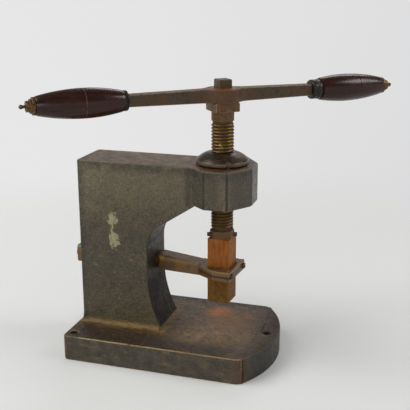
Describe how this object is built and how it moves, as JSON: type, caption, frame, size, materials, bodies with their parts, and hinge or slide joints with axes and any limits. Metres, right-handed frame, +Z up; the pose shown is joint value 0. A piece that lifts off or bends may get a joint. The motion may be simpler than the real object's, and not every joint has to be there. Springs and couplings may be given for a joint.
{
  "type": "dry mounting press",
  "caption": "Small bench screw press with a C-shaped cast frame, a cross lever with turned grips, a threaded spindle and a square ram held in a fork guide.",
  "frame": {"origin": "point on the underside of the base, straight below the axis of the screw", "axes": "+Z up along the screw, +X from the column towards the open front, +Y to the left of someone who looks along +X"},
  "size_m": [0.3505, 0.285, 0.32],
  "materials": {
    "frame_enamel": "old dark olive-grey enamel on cast iron, worn through to rust-brown at the edges",
    "nut_iron": "dark browned iron with worn bright rim",
    "dark_steel": "dark browned steel",
    "guide_steel": "forged steel with brown patina and light rubbed edges",
    "ram_steel": "square steel bar with an orange-brown rust bloom",
    "screw_steel": "cut steel thread with brassy brown patina",
    "lever_steel": "forged steel, dark brown, rusty at the eye",
    "ferrule_steel": "blackened steel ring",
    "grip_wood": "turned dark red-brown hardwood, polished",
    "cap_brass": "dull old brass"
  },
  "bodies": {
    "frame": {"frame_casting": "frame_enamel", "screw_nut": "nut_iron", "nut_locking_pin": "dark_steel", "guide_fork": "guide_steel", "keeper_plate": "guide_steel", "keeper_screws": "dark_steel", "rear_washer": "dark_steel", "rear_nut": "dark_steel"},
    "ram": {"ram": "ram_steel", "retaining_pins": "dark_steel"},
    "screw": {"power_screw": "screw_steel", "lever": "lever_steel", "left_ferrule_ring": "ferrule_steel", "left_grip_inner": "grip_wood", "left_grip_outer": "grip_wood", "left_end_cap": "cap_brass", "left_ball_nut": "cap_brass", "right_ferrule_ring": "ferrule_steel", "right_grip_inner": "grip_wood", "right_grip_outer": "grip_wood", "right_end_cap": "cap_brass", "right_ball_nut": "cap_brass"}
  },
  "joints": [
    {"name": "ram_slide", "type": "slide", "parent": "frame", "child": "ram", "axis": [0, 0, 1], "range_m": [-0.0324, 0.0288]},
    {"name": "screw_turn", "type": "hinge", "parent": "ram", "child": "screw", "pos_m": [0, 0, 0.1512], "axis": [0, 0, 1], "range_deg": [-3240, 2880]}
  ],
  "couplings": [
    {"joint": "ram_slide", "follows": "screw_turn", "m_per_rad": 0.00057296}
  ]
}
